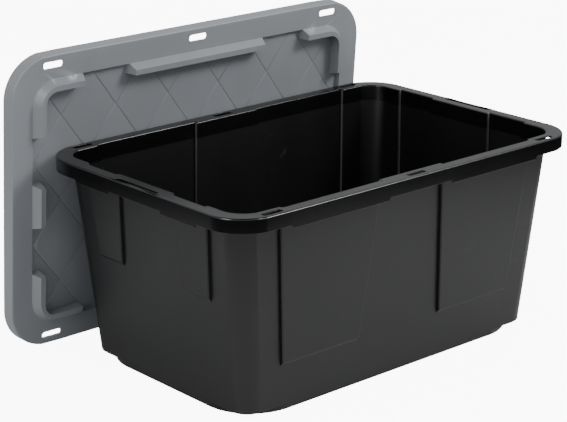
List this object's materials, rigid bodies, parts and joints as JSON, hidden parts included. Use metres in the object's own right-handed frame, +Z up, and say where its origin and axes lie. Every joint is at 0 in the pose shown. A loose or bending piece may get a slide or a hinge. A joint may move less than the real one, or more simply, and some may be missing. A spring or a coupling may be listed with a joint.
{
  "type": "stackable storage bin",
  "caption": "Tapered open-topped storage tub with a flanged rim and a separate press-fit stacking lid leaning behind it.",
  "frame": {"origin": "centre of the tub's underside, on the floor", "axes": "+X along the bin's length, +Y towards the rear where the lid leans, +Z up"},
  "size_m": [0.8095, 0.5592, 0.5149],
  "materials": {
    "black_plastic": "satin moulded polypropylene, black",
    "grey_plastic": "satin moulded polyethylene, mid grey"
  },
  "bodies": {
    "tub": {"tub": "black_plastic"},
    "lid": {"lid": "grey_plastic"}
  },
  "joints": [
    {"name": "lid_lift", "type": "slide", "parent": "tub", "child": "lid", "axis": [0, 0.7071, 0.7071], "range_m": [0, 0.5]}
  ]
}
